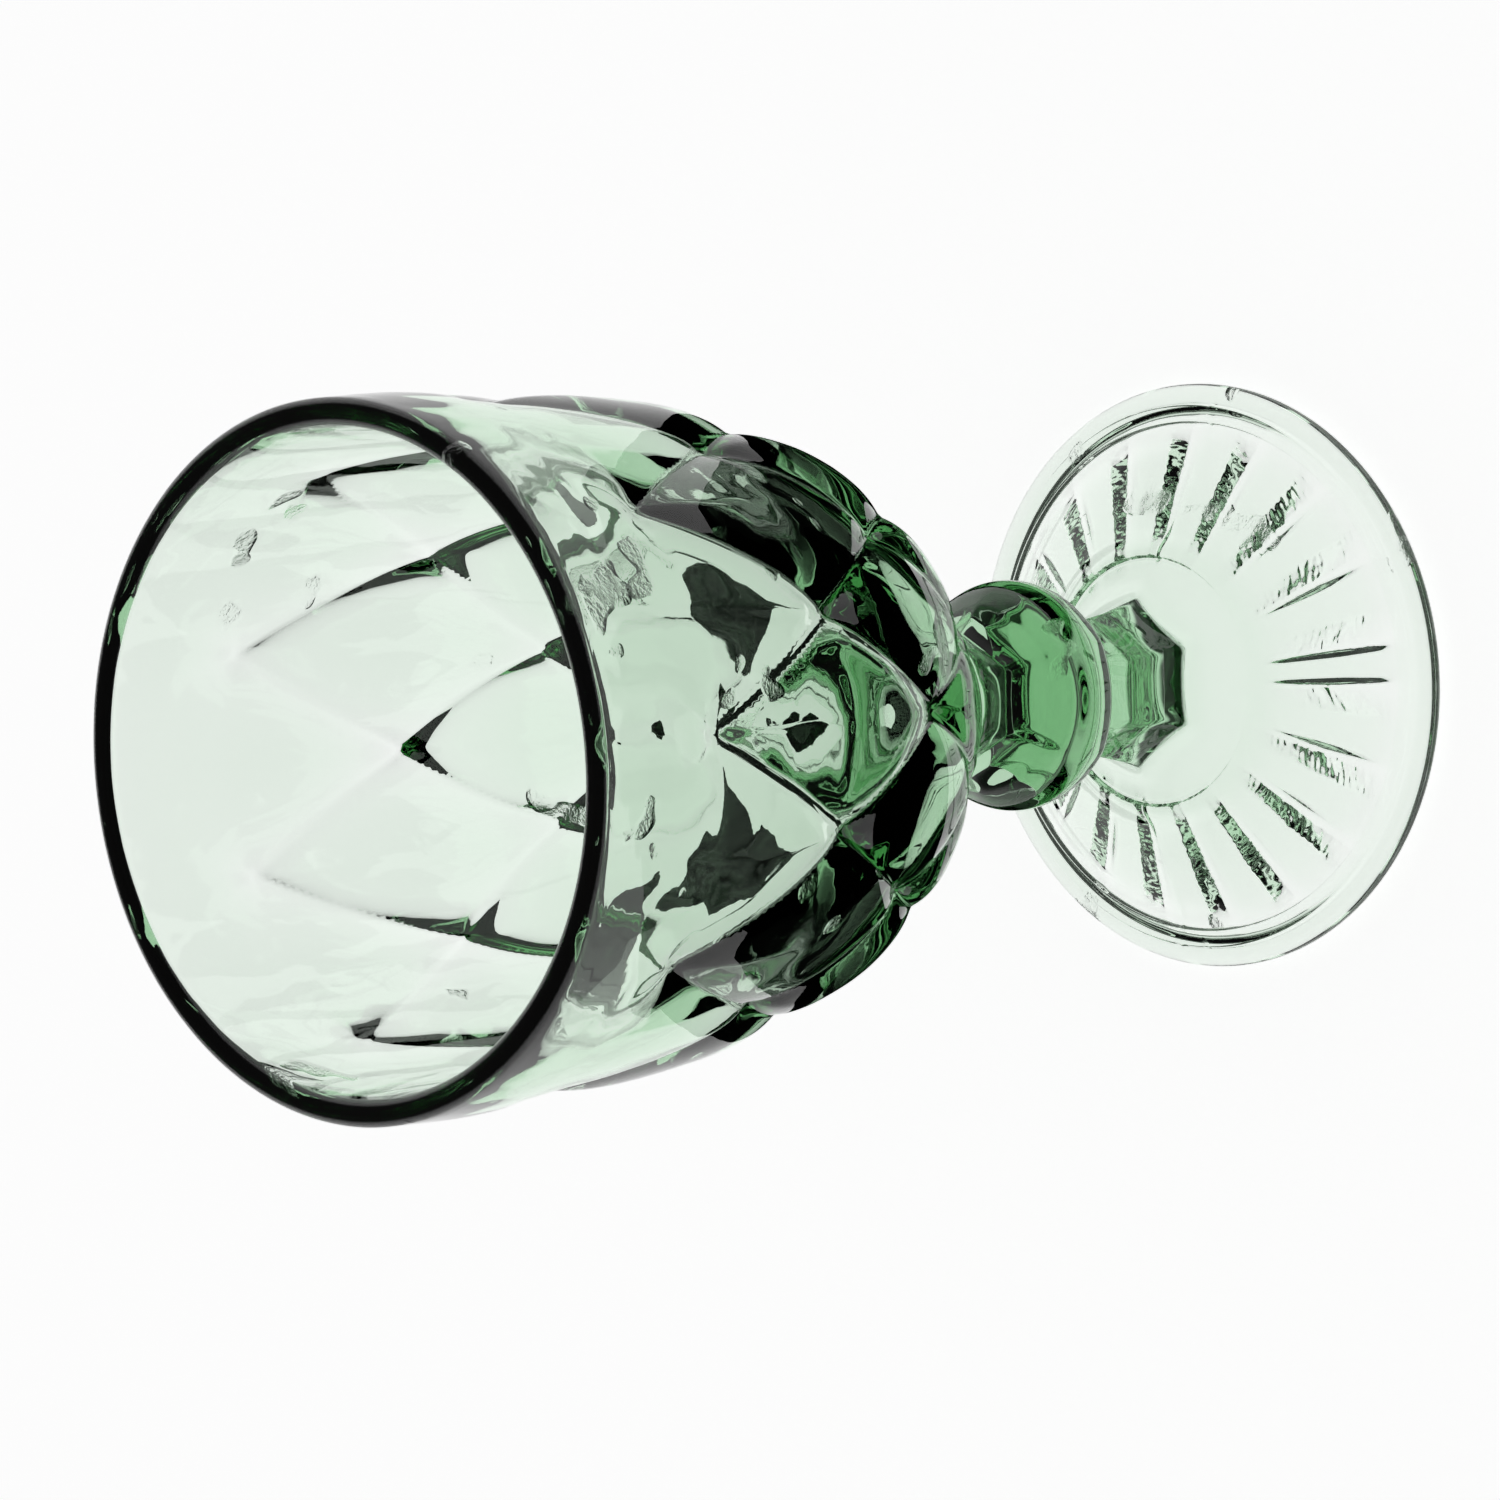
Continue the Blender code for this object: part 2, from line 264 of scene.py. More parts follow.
def ring(radius, height, **marks):
    """One ring of the blank: its radius, its height and what the mould does to it there."""
    return (radius, height) + tuple(float(marks.get(name, 0.0)) for name in RING_ATTRIBUTES)


def turned_blank(name, rings, columns, low_pole=None, high_pole=None):
    """A closed turned shape from rings listed bottom to top up the outside and then down the
    inside. An end without a pole closes with a flat joined face."""
    table = np.array(rings)
    angles = 2 * math.pi * np.arange(columns) / columns
    x = table[:, :1] * np.sin(angles)
    y = -table[:, :1] * np.cos(angles)
    z = np.repeat(table[:, 1:2], columns, axis=1)
    points = np.stack([x, y, z], axis=-1).reshape(-1, 3)
    ends = [[0, 0, table[0, 1] if low_pole is None else low_pole],
            [0, 0, table[-1, 1] if high_pole is None else high_pole]]
    low, high = len(points), len(points) + 1
    here = np.arange(columns)
    step = (here + 1) % columns
    faces = []
    for r in range(len(rings) - 1):
        a, b = r * columns, (r + 1) * columns
        faces += np.stack([a + here, a + step, b + step, b + here], axis=1).tolist()
    top = (len(rings) - 1) * columns
    faces += [(k, j, low) for j, k in zip(here.tolist(), step.tolist())]
    faces += [(top + j, top + k, high) for j, k in zip(here.tolist(), step.tolist())]
    mesh = bpy.data.meshes.new(name)
    mesh.from_pydata(np.concatenate([points, ends]).tolist(), [], faces)
    for i, mark in enumerate(RING_ATTRIBUTES):
        values = np.concatenate([np.repeat(table[:, 2 + i], columns), [0.0, 0.0]])
        mesh.attributes.new(mark, "FLOAT", "POINT").data.foreach_set("value", values)
    skin = np.ones(len(faces))
    sides = len(faces) - 2 * columns
    if low_pole is None:
        skin[sides:sides + columns] = 0.0
    if high_pole is None:
        skin[sides + columns:] = 0.0
    mesh.attributes.new("skin", "FLOAT", "FACE").data.foreach_set("value", skin)
    blank = bpy.data.objects.new(name, mesh)
    bpy.context.scene.collection.objects.link(blank)
    return blank


def mould_tree():
    """The rule that every piece follows: cut diamonds, a six-sided section, flutes underneath
    and chill ripples, each where the blank's rings ask for it."""
    tree = bpy.data.node_groups.get("Glass mould")
    if tree:
        return tree
    tree = bpy.data.node_groups.new("Glass mould", "GeometryNodeTree")
    face = tree.interface.new_socket
    face("Geometry", in_out="INPUT", socket_type="NodeSocketGeometry")
    for name, kind in (
        ("Diamonds Round", "Int"), ("Ridge", "Float"), ("Belly", "Float"), ("Swell", "Float"),
        ("Flat Share", "Float"), ("Valley Rounding", "Float"), ("Stem Turn", "Float"),
        ("Flutes", "Int"), ("Flute Depth", "Float"), ("Flute Turn", "Float"),
        ("Flute Half Width", "Float"), ("Torn Width", "Float"), ("Seam Turn", "Float"),
        ("Seam Height", "Float"), ("Ripple Height", "Float"), ("Ripple Width", "Float"),
        ("Seed", "Int"), ("Glass", "Material"),
    ):
        face(name, in_out="INPUT", socket_type="NodeSocket" + kind)
    face("Geometry", in_out="OUTPUT", socket_type="NodeSocketGeometry")
    given = add(tree, "NodeGroupInput").outputs
    mark = {
        name: add(tree, "GeometryNodeInputNamedAttribute", {"Name": name}, data_type="FLOAT")
        for name in RING_ATTRIBUTES
    }
    place = add(tree, "ShaderNodeSeparateXYZ", (add(tree, "GeometryNodeInputPosition"),))
    front = add(tree, "ShaderNodeMath", (place.outputs["Y"], -1.0), operation="MULTIPLY")
    azimuth = add(tree, "ShaderNodeMath", (place.outputs["X"], front), operation="ARCTAN2")

    # Diamonds: the fall from the nearer of two crests, in rows that step half a cell aside
    cell = add(tree, "ShaderNodeMath", (math.pi, given["Diamonds Round"]), operation="DIVIDE")
    across = add(tree, "ShaderNodeMath", (azimuth, cell), operation="DIVIDE")
    row = add(tree, "ShaderNodeMath", (mark["row"],), operation="FLOOR")
    below = add(tree, "ShaderNodeMath", (mark["row"],), operation="FRACT")
    stepped = add(tree, "ShaderNodeMath", (across, row), operation="ADD")
    aside = add(tree, "ShaderNodeMath", (stepped, 1.0), operation="PINGPONG")
    falls = []
    for sideways, down in (
        (aside, below),
        (add(tree, "ShaderNodeMath", (1.0, aside), operation="SUBTRACT"),
         add(tree, "ShaderNodeMath", (1.0, below), operation="SUBTRACT")),
    ):
        lean = add(tree, "ShaderNodeMath", (sideways, given["Ridge"]), operation="POWER")
        sink = add(tree, "ShaderNodeMath", (down, given["Belly"]), operation="POWER")
        both = add(tree, "ShaderNodeMath", (lean, sink), operation="ADD")
        falls.append(add(tree, "ShaderNodeMath", (both, given["Swell"]), operation="POWER"))
    fall = add(tree, "ShaderNodeMath", (*falls, given["Valley Rounding"]),
               operation="SMOOTH_MIN")
    drop = add(tree, "ShaderNodeMath", (fall, mark["corner_depth"]), operation="MULTIPLY")

    # Flat facets: each half cell goes from round towards flat
    middle = add(tree, "ShaderNodeMath", (aside, 0.5), operation="SUBTRACT")
    bend = add(tree, "ShaderNodeMath", (middle, cell), operation="MULTIPLY")
    bend = add(tree, "ShaderNodeMath", (bend,), operation="COSINE")
    half = add(tree, "ShaderNodeMath", (cell, 0.5), operation="MULTIPLY")
    half = add(tree, "ShaderNodeMath", (half,), operation="COSINE")
    facet = add(tree, "ShaderNodeMath", (half, bend), operation="DIVIDE")
    facet = add(tree, "ShaderNodeMath", (facet, 1.0), operation="SUBTRACT")
    share = add(tree, "ShaderNodeMath", (mark["flatness"], given["Flat Share"]),
                operation="MULTIPLY")
    facet = add(tree, "ShaderNodeMath", (facet, share, 1.0), operation="MULTIPLY_ADD")

    # Six sides with softened corners
    sixth = math.pi / 6
    turn = add(tree, "ShaderNodeMath", (azimuth, given["Stem Turn"]), operation="SUBTRACT")
    turn = add(tree, "ShaderNodeMath", (turn, sixth), operation="PINGPONG")
    turn = add(tree, "ShaderNodeMath", (turn, sixth * 0.94, sixth * 0.12),
               operation="SMOOTH_MIN")
    turn = add(tree, "ShaderNodeMath", (turn,), operation="COSINE")
    side = add(tree, "ShaderNodeMath", (math.cos(sixth), turn), operation="DIVIDE")
    side = add(tree, "ShaderNodeMath", (side, 1.0), operation="SUBTRACT")
    side = add(tree, "ShaderNodeMath", (side, mark["six_sided"], 1.0),
               operation="MULTIPLY_ADD")

    # The new radius, as a scale of the blank's own
    flat_place = add(tree, "ShaderNodeCombineXYZ", (place.outputs["X"], place.outputs["Y"], 0.0))
    radius = add(tree, "ShaderNodeVectorMath", (flat_place,), operation="LENGTH")
    radius = radius.outputs["Value"]
    cut = add(tree, "ShaderNodeMath", (radius, drop), operation="SUBTRACT")
    cut = add(tree, "ShaderNodeMath", (cut, facet), operation="MULTIPLY")
    cut = add(tree, "ShaderNodeMath", (cut, side), operation="MULTIPLY")
    scale = add(tree, "ShaderNodeMath", (cut, radius), operation="DIVIDE")
    scaled = add(tree, "ShaderNodeVectorMath", {0: flat_place, "Scale": scale}, operation="SCALE")

    # Flutes: grooves with a steep side and a gentle one, mirrored left to right
    away = add(tree, "ShaderNodeMath", (azimuth,), operation="ABSOLUTE")
    turn = add(tree, "ShaderNodeMath", (away, given["Flute Turn"]), operation="SUBTRACT")
    pitch = add(tree, "ShaderNodeMath", (math.pi, given["Flutes"]), operation="DIVIDE")
    back = add(tree, "ShaderNodeMath", (pitch, -1.0), operation="MULTIPLY")
    side_step = add(tree, "ShaderNodeMath", (turn, pitch, back), operation="WRAP")
    torn_at = add(tree, "ShaderNodeCombineXYZ",
                  (add(tree, "ShaderNodeMath", (radius, TEARS_OUTWARD), operation="MULTIPLY"),
                   add(tree, "ShaderNodeMath", (azimuth, TEARS_ROUND), operation="MULTIPLY"), 0.0))
    torn = add(tree, "ShaderNodeTexNoise",
               {"Vector": torn_at, "W": given["Seed"], "Scale": 1.0, "Detail": 3.0,
                "Roughness": 0.6}, noise_dimensions="4D")
    torn = add(tree, "ShaderNodeMath", (torn, 0.5), operation="SUBTRACT")
    torn = add(tree, "ShaderNodeMath", (torn, given["Torn Width"], side_step),
               operation="MULTIPLY_ADD")
    slopes = []
    for edge, share, sense in ((side_step, 0.5 - FLUTE_LEAN, 1.0),
                               (torn, 0.5 + FLUTE_LEAN, -1.0)):
        reach = add(tree, "ShaderNodeMath", (given["Flute Half Width"], sense),
                    operation="MULTIPLY")
        inward = add(tree, "ShaderNodeMath", (edge, reach), operation="ADD")
        width = add(tree, "ShaderNodeMath", (reach, 2.0 * share), operation="MULTIPLY")
        slopes.append(add(tree, "ShaderNodeMath", (inward, width), operation="DIVIDE"))
    wave = add(tree, "ShaderNodeMath", (*slopes, 0.05), operation="SMOOTH_MIN")
    wave = add(tree, "ShaderNodeMath", (wave, 0.0, 0.05), operation="SMOOTH_MAX")
    lift = add(tree, "ShaderNodeMath", (given["Flute Depth"], mark["flute"]),
               operation="MULTIPLY")
    height = add(tree, "ShaderNodeMath", (wave, lift, place.outputs["Z"]),
                 operation="MULTIPLY_ADD")
    up = add(tree, "ShaderNodeCombineXYZ", (0.0, 0.0, height))
    shaped = add(tree, "ShaderNodeVectorMath", (scaled, up), operation="ADD")

    # Chill ripples, along the surface's own normal
    fine = add(tree, "ShaderNodeMath", (1.0, given["Ripple Width"]), operation="DIVIDE")
    noise = add(tree, "ShaderNodeTexNoise",
                {"Vector": shaped, "W": given["Seed"], "Scale": fine, "Detail": 2.0,
                 "Roughness": 0.45, "Distortion": 0.6}, noise_dimensions="4D")
    swell = add(tree, "ShaderNodeMath", (noise, 0.5), operation="SUBTRACT")
    swell = add(tree, "ShaderNodeMath", (swell, given["Ripple Height"]), operation="MULTIPLY")
    swell = add(tree, "ShaderNodeMath", (swell, mark["ripple"]), operation="MULTIPLY")

    # Seams: a fine ridge where the two halves of the mould meet
    quarter = math.pi / 2
    off_seam = add(tree, "ShaderNodeMath", (azimuth, given["Seam Turn"]), operation="SUBTRACT")
    off_seam = add(tree, "ShaderNodeMath", (off_seam, quarter, -quarter), operation="WRAP")
    off_seam = add(tree, "ShaderNodeMath", (off_seam,), operation="ABSOLUTE")
    seam = add(tree, "ShaderNodeMath", (off_seam, -1.0 / SEAM_HALF_WIDTH, 1.0),
               operation="MULTIPLY_ADD")
    seam = add(tree, "ShaderNodeMath", (seam, 0.0), operation="MAXIMUM")
    seam = add(tree, "ShaderNodeMath", (seam, given["Seam Height"]), operation="MULTIPLY")
    swell = add(tree, "ShaderNodeMath", (seam, mark["seam"], swell), operation="MULTIPLY_ADD")
    normal = add(tree, "GeometryNodeInputNormal")
    push = add(tree, "ShaderNodeVectorMath", {0: normal, "Scale": swell}, operation="SCALE")
    final = add(tree, "ShaderNodeVectorMath", (shaped, push), operation="ADD")

    pressed = add(tree, "GeometryNodeSetPosition",
                  {"Geometry": given["Geometry"], "Position": final})
    smooth = add(tree, "GeometryNodeSetShadeSmooth", {"Geometry": pressed, "Shade Smooth": True})
    real = add(tree, "GeometryNodeRealizeInstances", {"Geometry": smooth})
    coated = add(tree, "GeometryNodeSetMaterial", {"Geometry": real, "Material": given["Glass"]})
    add(tree, "NodeGroupOutput", (coated,))
    return tree


def pressed(blank, material, sizes):
    """Press a blank in the mould and leave a plain mesh."""
    tree = mould_tree()
    values = {
        "Diamonds Round": sizes.diamonds, "Ridge": sizes.ridge, "Belly": sizes.belly,
        "Swell": sizes.swell, "Flat Share": sizes.flat, "Valley Rounding": sizes.valley,
        "Stem Turn": sizes.stem_turn, "Flutes": sizes.flutes,
        "Flute Depth": sizes.flute_depth, "Flute Turn": sizes.flute_turn,
        "Flute Half Width": sizes.flute_half_width, "Torn Width": sizes.torn_width,
        "Seam Turn": sizes.seam_turn, "Seam Height": sizes.seam_height,
        "Ripple Height": sizes.ripple_height, "Ripple Width": sizes.ripple_width,
        "Seed": sizes.seed, "Glass": material,
    }
    modifier = blank.modifiers.new("Glass mould", "NODES")
    modifier.node_group = tree
    for item in tree.interface.items_tree:
        if item.in_out == "INPUT" and item.name in values:
            modifier[item.identifier] = values[item.name]
    graph = bpy.context.evaluated_depsgraph_get()
    mesh = bpy.data.meshes.new_from_object(blank.evaluated_get(graph))
    blank.modifiers.remove(modifier)
    old, blank.data = blank.data, mesh
    mesh.name = blank.name
    bpy.data.meshes.remove(old)
    for mark in RING_ATTRIBUTES:
        mesh.attributes.remove(mesh.attributes[mark])
    mesh.set_sharp_from_angle(angle=math.radians(50))
    return blank


def green_glass(colours):
    """Soda-lime glass, pressed in an iron mould and then fire-polished: a clean bright
    surface with faint waves, and a green that deepens with the thickness."""
    name = "Pressed soda-lime glass, green"
    material = bpy.data.materials.get(name)
    if material:
        return material
    material = bpy.data.materials.new(name)
    material.use_nodes = True
    tree = material.node_tree
    tree.nodes.clear()
    where = add(tree, "ShaderNodeTexCoord").outputs["Object"]
    # Mould skin: low waves, a few microns high
    waves = add(tree, "ShaderNodeTexNoise",
                {"Vector": where, "Scale": WAVES, "Detail": 2.0, "Roughness": 0.4})
    skin = add(tree, "ShaderNodeBump",
               {"Strength": 1.0, "Distance": WAVE_HEIGHT, "Height": waves})
    # Here and there the iron was rough and tore the skin. Drawn taller than real, to show.
    patches = add(tree, "ShaderNodeTexNoise",
                  {"Vector": where, "Scale": PATCHES, "Detail": 2.0, "Roughness": 0.6})
    torn = add(tree, "ShaderNodeMapRange",
               {"Value": patches, "From Min": 0.665, "From Max": 0.69})
    grit = add(tree, "ShaderNodeTexNoise",
               {"Vector": where, "Scale": GRIT, "Detail": 3.0, "Roughness": 0.6})
    torn = add(tree, "ShaderNodeMath", (torn, grit), operation="MULTIPLY")
    skin = add(tree, "ShaderNodeBump",
               {"Strength": 1.0, "Distance": GRIT_HEIGHT, "Height": torn, "Normal": skin})
    # Handling leaves a faint bloom
    bloom = add(tree, "ShaderNodeTexNoise", {"Vector": where, "Scale": BLOOM, "Detail": 3.0})
    rough = add(tree, "ShaderNodeMapRange",
                {"Value": bloom, "From Min": 0.45, "From Max": 0.75,
                 "To Min": 0.0, "To Max": 0.03})
    # The faces where two gathers are joined don't show
    shown = add(tree, "ShaderNodeAttribute", attribute_name="skin")
    shader = add(tree, "ShaderNodeBsdfPrincipled", {
        "Base Color": (*linear("#ffffff"), 1.0), "Roughness": rough, "IOR": 1.52,
        "Transmission Weight": 1.0, "Normal": skin, "Alpha": shown.outputs["Fac"]})
    depth = add(tree, "ShaderNodeVolumeAbsorption",
                {"Color": (*colours.tint, 1.0), "Density": colours.depth})
    add(tree, "ShaderNodeOutputMaterial", {"Surface": shader, "Volume": depth})
    return material


def finish_piece(piece, node):
    """Let the piece stand for its CAD node on the goblet's one body."""
    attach(piece, "root")
    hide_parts(node)


class GOBLET_OT_bowl(bpy.types.Operator):
    """Make the bowl: a round rim, a plain band, cut diamonds and an open smooth cavity"""

    bl_idname = "goblet.bowl"
    bl_label = "Bowl"

    def execute(self, context):
        sizes, colours = context.scene.goblet_sizes, context.scene.goblet_colours
        rows = len(CORNER_ROWS)
        heights = [h for h, _ in CORNER_ROWS]
        to_row = [(h, i + 1.0) for i, h in enumerate(heights)]
        to_depth = [(i + 1.0, d) for i, (_, d) in enumerate(CORNER_ROWS)]
        fine = np.linspace(heights[-1], heights[0], 4001)
        fine_rows = curve_through(to_row, fine)
        rings = []
        for height in np.linspace(BOWL_BASE + JOIN, heights[-1], 12)[:-1]:
            share = (heights[-1] - height) / (heights[-1] - BOWL_BASE)
            rings.append(ring(curve_through(BOWL_CREST, height), height, row=rows,
                              six_sided=share ** 2 * (3 - 2 * share)))
        for i in range((rows - 1) * STEPS + 1):
            row = rows - i / STEPS
            height = float(np.interp(-row, -fine_rows, fine))
            rings.append(ring(
                curve_through(BOWL_CREST, height), height, row=row,
                corner_depth=curve_through(to_depth, row), flatness=min(1.0, rows - row),
                ripple=0.6))
        gap = heights[0] - heights[1]
        for height in np.linspace(heights[0], RIM_TOP - RIM_ROUNDING, 28)[1:-1]:
            rise = height - heights[0]
            fade = max(0.0, 1.0 - rise / SHOULDER) ** 2
            rings.append(ring(
                curve_through(BOWL_CREST, height), height, row=1.0 - rise / gap,
                corner_depth=CORNER_ROWS[0][1] * fade, flatness=fade, ripple=1.0))
        outside, inside = BOWL_CREST[-1][1], RIM_INSIDE
        for angle in np.linspace(0.0, math.pi, 17):
            rings.append(ring(
                (outside + inside) / 2 + (outside - inside) / 2 * math.cos(angle),
                RIM_TOP - RIM_ROUNDING * (1 - math.sin(angle)), ripple=0.3))
        down = np.linspace(RIM_TOP - RIM_ROUNDING, CAVITY_FLOOR, 62)[1:]
        ease = (down - CAVITY_FLOOR) / (RIM_TOP - RIM_ROUNDING - CAVITY_FLOOR)
        for height in CAVITY_FLOOR + (down - CAVITY_FLOOR) * ease ** 0.7:
            if height > CAVITY_FLOOR + 0.00002:
                rings.append(ring(curve_through(CAVITY, height), height, ripple=1.0))
        columns = 2 * sizes.diamonds * STEPS
        blank = turned_blank("bowl_glass", rings, columns, high_pole=CAVITY_FLOOR)
        finish_piece(pressed(blank, green_glass(colours), sizes), "bowl")
        return {"FINISHED"}


class GOBLET_OT_knop(bpy.types.Operator):
    """Make the round knop, which turns six-sided where it meets the bowl and the stem"""

    bl_idname = "goblet.knop"
    bl_label = "Knop"

    def execute(self, context):
        sizes, colours = context.scene.goblet_sizes, context.scene.goblet_colours
        radii = [(h, r) for h, r, _ in KNOP]
        sides = [(h, s) for h, _, s in KNOP]
        rings = [ring(curve_through(radii, h), h, six_sided=curve_through(sides, h), ripple=0.4)
                 for h in np.linspace(KNOP_BASE + JOIN, BOWL_BASE - JOIN, 90)]
        blank = turned_blank("knop_glass", rings, 288)
        finish_piece(pressed(blank, green_glass(colours), sizes), "knop")
        return {"FINISHED"}


class GOBLET_OT_stem(bpy.types.Operator):
    """Make the short six-sided stem"""

    bl_idname = "goblet.stem"
    bl_label = "Stem"

    def execute(self, context):
        sizes, colours = context.scene.goblet_sizes, context.scene.goblet_colours
        radii = [(h, r) for h, r, _ in STEM]
        rings = [ring(curve_through(radii, h), h, six_sided=1.0, ripple=0.3)
                 for h in np.linspace(STEM_BASE + JOIN, KNOP_BASE - JOIN, 50)]
        blank = turned_blank("stem_glass", rings, 288)
        finish_piece(pressed(blank, green_glass(colours), sizes), "stem")
        return {"FINISHED"}


class GOBLET_OT_foot(bpy.types.Operator):
    """Make the foot: flare, cone, ringed edge, the ring it stands on and the fluted recess"""

    bl_idname = "goblet.foot"
    bl_label = "Foot"

    def execute(self, context):
        sizes, colours = context.scene.goblet_sizes, context.scene.goblet_colours
        rings = []
        for radius in np.concatenate([np.linspace(0.0006, 0.0145, 12),
                                      np.linspace(0.0150, 0.0330, 72),
                                      np.linspace(0.0332, 0.0352, 12)]):
            rings.append(ring(radius, curve_through(RECESS, radius),
                              flute=curve_through(FLUTE_REACH, radius),
                              ripple=0.5 if radius < 0.033 else 0.0))
        # The flat that it stands on ends where the rounded edge begins
        rings += [ring(r, 0.0) for r in (0.0354, 0.0362, FOOT_EDGE_CENTRE)]
        for angle in np.linspace(-math.pi / 2, math.pi / 2, 18)[1:]:
            rings.append(ring(FOOT_EDGE_CENTRE + FOOT_EDGE_ROUNDING * math.cos(angle),
                              FOOT_EDGE_ROUNDING * (1 + math.sin(angle))))
        for radius in np.concatenate([np.linspace(0.0368, 0.0328, 33),
                                      np.linspace(0.0326, 0.0170, 30),
                                      np.linspace(0.0168, 0.0156, 13)]):
            rings.append(ring(radius, curve_through(FOOT_CONE, radius), ripple=0.5, seam=1.0))
        radii = [(h, r) for h, r, _ in FOOT_TOP]
        sides = [(h, s) for h, _, s in FOOT_TOP]
        for height in np.concatenate([np.linspace(FOOT_TOP[0][0], 0.0138, 12)[1:],
                                      np.linspace(0.0140, STEM_BASE - JOIN, 26)]):
            rings.append(ring(curve_through(radii, height), height,
                              six_sided=curve_through(sides, height), ripple=0.3))
        blank = turned_blank("foot_glass", rings, 432, low_pole=RECESS[0][1])
        finish_piece(pressed(blank, green_glass(colours), sizes), "foot")
        return {"FINISHED"}


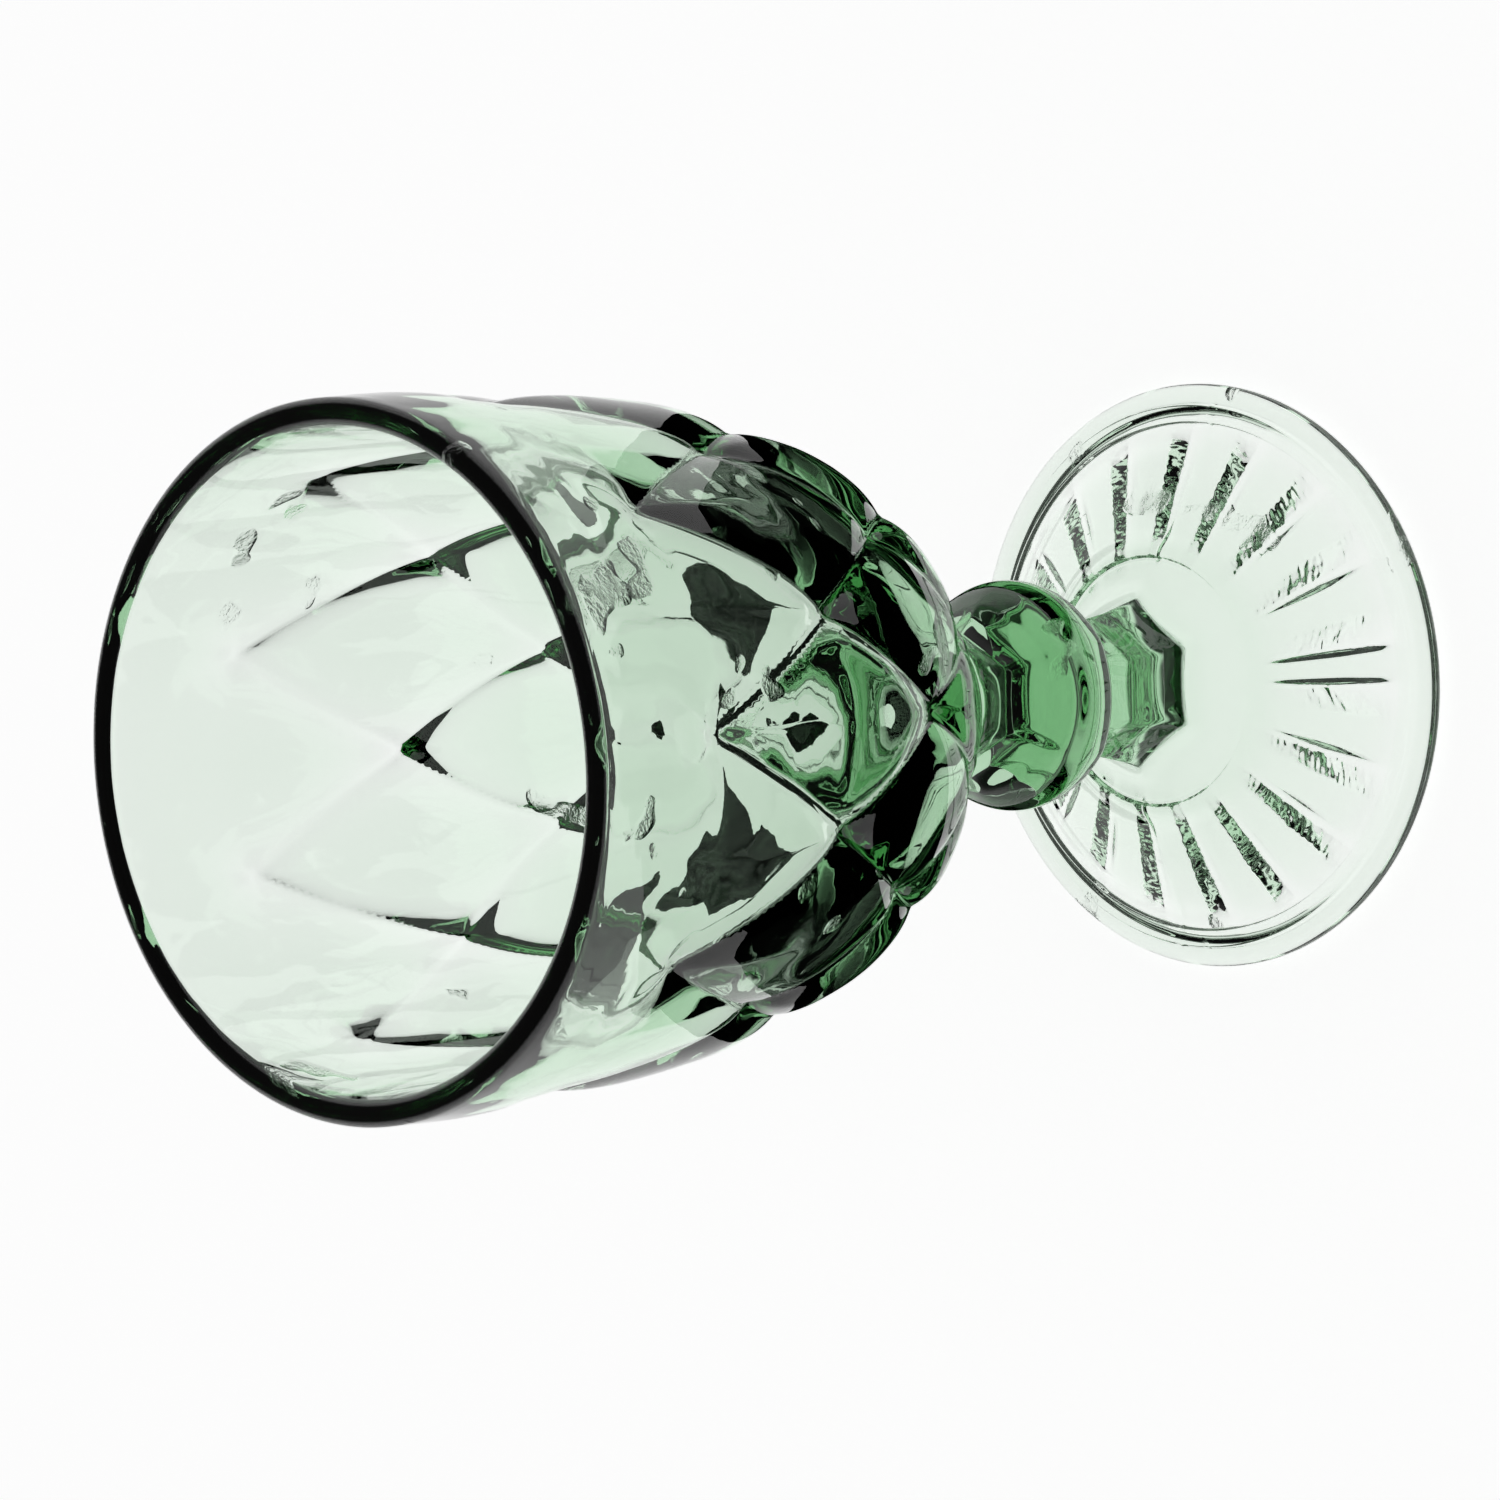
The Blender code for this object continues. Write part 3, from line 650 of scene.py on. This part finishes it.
class GOBLET_OT_stage(bpy.types.Operator):
    """Set the table, the soft lights and the camera"""

    bl_idname = "goblet.stage"
    bl_label = "Stage"

    def execute(self, context):
        scene, colours = context.scene, context.scene.goblet_colours
        turn = [math.pi * i / 32 for i in range(64)]
        corners = [(TABLE_RADIUS * math.cos(t), TABLE_RADIUS * math.sin(t), TABLE_TOP)
                   for t in turn]
        mesh = bpy.data.meshes.new("floor")
        mesh.from_pydata(corners, [], [list(range(64))])
        floor = bpy.data.objects.new("floor", mesh)
        scene.collection.objects.link(floor)
        # Opal sheet lit from below: an even glow, matt, with a faint grain
        paper = bpy.data.materials.new("Matt white light table")
        paper.use_nodes = True
        tree = paper.node_tree
        tree.nodes.clear()
        grain = add(tree, "ShaderNodeTexNoise",
                    {"Vector": add(tree, "ShaderNodeTexCoord").outputs["Object"],
                     "Scale": 4.0, "Detail": 2.0})
        rough = add(tree, "ShaderNodeMapRange", {"Value": grain, "To Min": 0.8, "To Max": 0.9})
        shader = add(tree, "ShaderNodeBsdfPrincipled", {
            "Base Color": (*colours.floor, 1.0), "Roughness": rough,
            "Emission Color": (*linear("#ffffff"), 1.0), "Emission Strength": TABLE_GLOW})
        add(tree, "ShaderNodeOutputMaterial", {"Surface": shader})
        mesh.materials.append(paper)

        # A black card lies round the foot. The camera, diffuse light and shadows pass it by and
        # only the glass shows it, so it paints dark reflections and refractions into the glass.
        turn = [2 * math.pi * i / 96 for i in range(96)]
        points = [(CARD_INSIDE * math.cos(t), CARD_INSIDE * math.sin(t), CARD_TOP) for t in turn]
        points += [(CARD_OUTSIDE * math.cos(t), CARD_OUTSIDE * math.sin(t) + CARD_SHIFT, CARD_TOP)
                   for t in turn]
        faces = [(i, (i + 1) % 96, 96 + (i + 1) % 96, 96 + i) for i in range(96)]
        mesh = bpy.data.meshes.new("dark_reflection_card")
        mesh.from_pydata(points, [], faces)
        card = bpy.data.objects.new("dark_reflection_card", mesh)
        scene.collection.objects.link(card)
        card.visible_camera = card.visible_diffuse = card.visible_shadow = False
        # Matt and nearly black, with no sheen: it shows only as painted dark reflections and
        # refractions in the glass
        black = bpy.data.materials.new("Black card for painted dark reflections")
        black.use_nodes = True
        shader = black.node_tree.nodes["Principled BSDF"]
        shader.inputs["Base Color"].default_value = (*linear("#191919"), 1.0)
        shader.inputs["Roughness"].default_value = 1.0
        shader.inputs["Specular IOR Level"].default_value = 0.0
        mesh.materials.append(black)

        # Light comes from low down all round, as from windows, and the ceiling is dim
        world = scene.world or bpy.data.worlds.new("studio")
        scene.world = world
        world.use_nodes = True
        tree = world.node_tree
        tree.nodes.clear()
        way = add(tree, "ShaderNodeTexCoord").outputs["Generated"]
        high = add(tree, "ShaderNodeSeparateXYZ", (way,)).outputs["Z"]
        glow = add(tree, "ShaderNodeMapRange",
                   {"Value": high, "From Min": SKY_LOW[0], "From Max": SKY_HIGH[0],
                    "To Min": SKY_LOW[1], "To Max": SKY_HIGH[1]},
                   interpolation_type="SMOOTHSTEP")
        sky = add(tree, "ShaderNodeBackground",
                  {"Color": (*linear("#ffffff"), 1.0), "Strength": glow})
        add(tree, "ShaderNodeOutputWorld", {"Surface": sky})

        lens = bpy.data.cameras.new("camera")
        lens.lens, lens.sensor_width = LENS, SENSOR
        lens.clip_start, lens.clip_end = 0.01, 20.0
        camera = bpy.data.objects.new("camera", lens)
        scene.collection.objects.link(camera)
        camera.matrix_world = (
            Matrix.Rotation(CAMERA_TURN, 4, "Z")
            @ Matrix.Translation((0.0, 0.0, CAMERA_TARGET))
            @ Matrix.Rotation(math.pi / 2 - CAMERA_ELEVATION, 4, "X")
            @ Matrix.Translation((0.0, 0.0, CAMERA_DISTANCE))
            @ Matrix.Rotation(CAMERA_ROLL, 4, "Z")
            @ Matrix.Rotation(CAMERA_TILT, 4, "X")
            @ Matrix.Rotation(CAMERA_PAN, 4, "Y")
        )
        scene.camera = camera
        scene.view_settings.view_transform = "Standard"
        return {"FINISHED"}


class GOBLET_PT_panel(bpy.types.Panel):
    """The goblet's pieces in the 3D view's sidebar"""

    bl_label = "Goblet"
    bl_idname = "GOBLET_PT_panel"
    bl_space_type = "VIEW_3D"
    bl_region_type = "UI"
    bl_category = "Goblet"

    def draw(self, context):
        layout = self.layout
        for group in (context.scene.goblet_sizes, context.scene.goblet_colours):
            for name in group.__annotations__:
                layout.prop(group, name)
        for operator in OPERATORS:
            layout.operator(operator.bl_idname)


OPERATORS = (GOBLET_OT_bowl, GOBLET_OT_knop, GOBLET_OT_stem, GOBLET_OT_foot, GOBLET_OT_stage)
CLASSES = (GobletSizes, GobletColours) + OPERATORS + (GOBLET_PT_panel,)


def register():
    for cls in CLASSES:
        bpy.utils.register_class(cls)
    bpy.types.Scene.goblet_sizes = bpy.props.PointerProperty(type=GobletSizes)
    bpy.types.Scene.goblet_colours = bpy.props.PointerProperty(type=GobletColours)


def unregister():
    del bpy.types.Scene.goblet_colours
    del bpy.types.Scene.goblet_sizes
    for cls in reversed(CLASSES):
        bpy.utils.unregister_class(cls)


def main():
    """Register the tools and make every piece."""
    register()
    bpy.ops.goblet.bowl()
    bpy.ops.goblet.knop()
    bpy.ops.goblet.stem()
    bpy.ops.goblet.foot()
    bpy.ops.goblet.stage()


if __name__ == "__main__":
    main()
